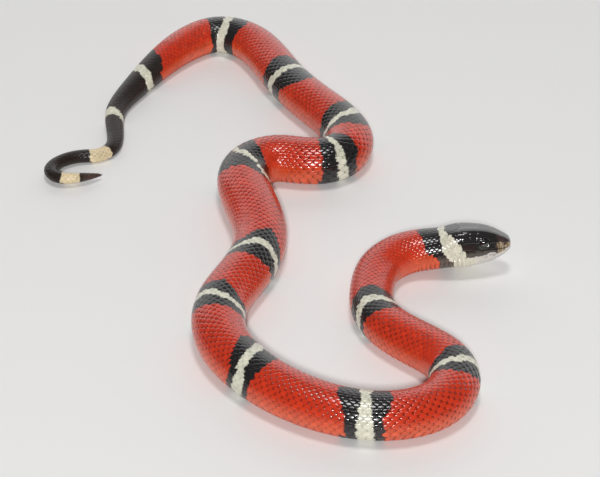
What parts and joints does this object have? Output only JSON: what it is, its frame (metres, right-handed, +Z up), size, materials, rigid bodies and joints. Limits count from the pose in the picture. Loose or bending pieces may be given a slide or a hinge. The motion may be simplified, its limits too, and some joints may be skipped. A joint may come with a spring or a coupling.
{
  "type": "young milk snake",
  "caption": "Young milk snake at life size, lying in loose bends with its head lifted, scarlet with black and cream rings.",
  "frame": {"origin": "on the floor, under the middle of the box that holds the snake", "axes": "+X to the side the head points to, +Y from the near bend to the far bend, +Z up"},
  "size_m": [0.0909, 0.1402, 0.0092],
  "materials": {
    "banded_skin": "glossy scales, scarlet with black and cream rings",
    "dark_head_skin": "glossy shields, black with a cream collar and a mottled snout",
    "pale_chin_skin": "satin scales, cream chin and dark lips",
    "tail_skin": "glossy scales, black with cream rings",
    "eye": "wet-looking black"
  },
  "bodies": {
    "root": {"head": "dark_head_skin", "lower_jaw": "pale_chin_skin", "eye_left": "eye", "eye_right": "eye", "neck": "banded_skin", "body_01": "banded_skin", "body_02": "banded_skin", "body_03": "banded_skin", "body_04": "banded_skin", "body_05": "banded_skin", "body_06": "banded_skin", "body_07": "banded_skin", "body_08": "banded_skin", "body_09": "banded_skin", "body_10": "banded_skin", "body_11": "banded_skin", "body_12": "banded_skin", "tail_01": "tail_skin", "tail_02": "tail_skin", "tail_03": "tail_skin", "tail_tip": "tail_skin"}
  },
  "joints": []
}
